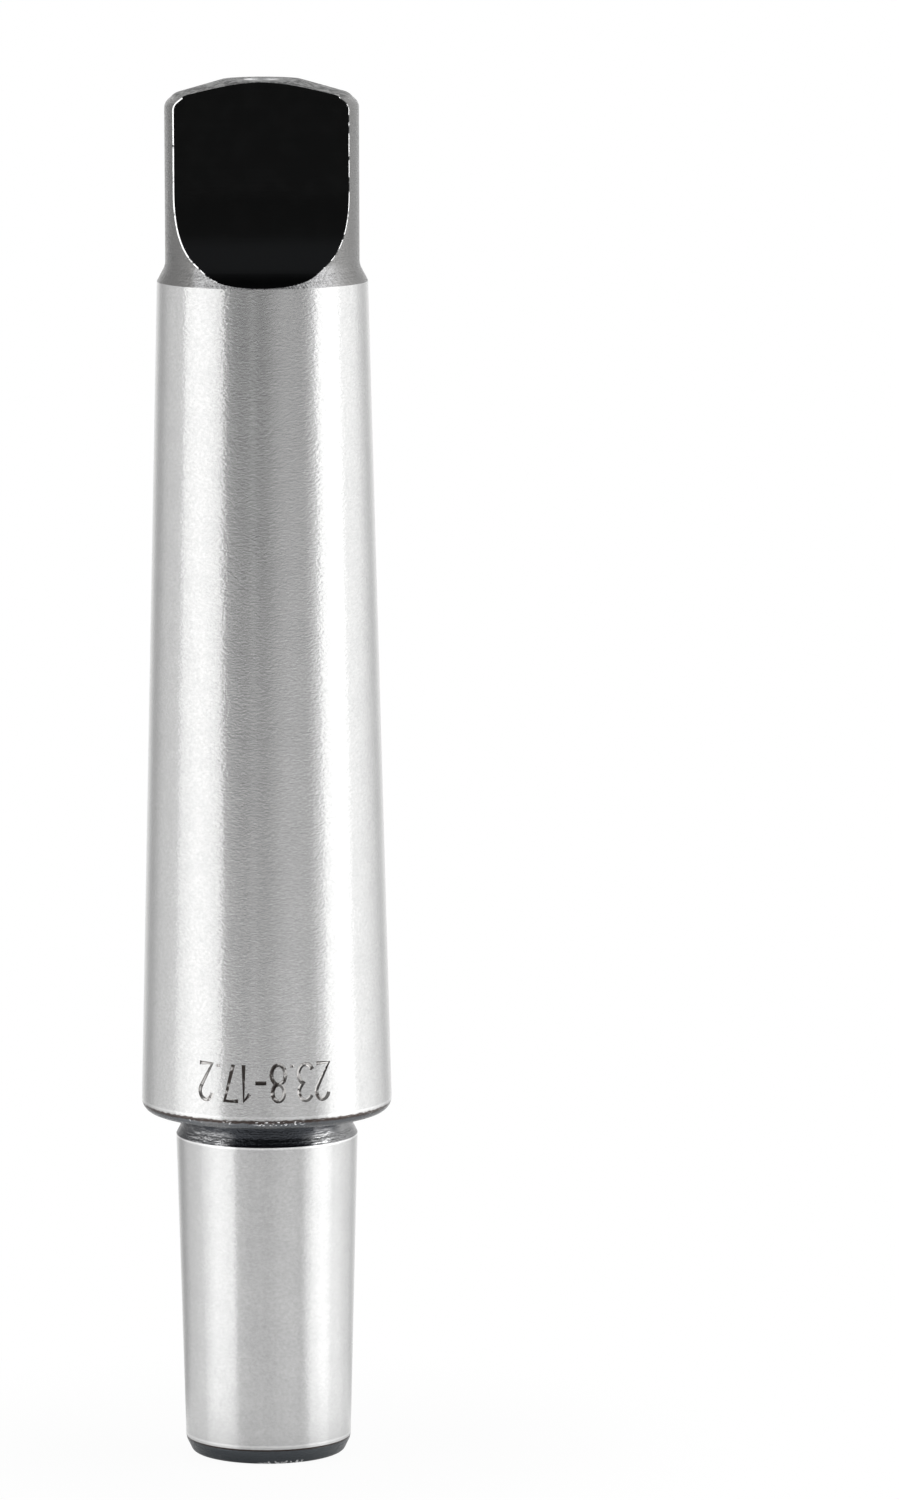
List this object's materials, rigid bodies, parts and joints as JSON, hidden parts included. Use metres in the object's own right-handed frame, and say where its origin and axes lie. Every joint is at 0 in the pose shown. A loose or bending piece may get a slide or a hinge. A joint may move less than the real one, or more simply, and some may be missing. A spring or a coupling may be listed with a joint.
{
  "type": "drill chuck arbor",
  "caption": "Steel arbor with a long ground taper shank that ends in a flat-sided tang, and a short ground chuck taper at the other end.",
  "frame": {"origin": "centre of the chuck end's flat face, on the axis, which is the lowest point of the part", "axes": "+Z along the arbor's axis from the chuck end to the tang; the tang's two flats face -Y and +Y"},
  "size_m": [0.024, 0.024, 0.1326],
  "materials": {
    "steel": "fine-ground bright steel on both tapers, black oxide on the tang, shoulder, groove and chamfers"
  },
  "bodies": {
    "root": {"arbor": "steel"}
  },
  "joints": []
}
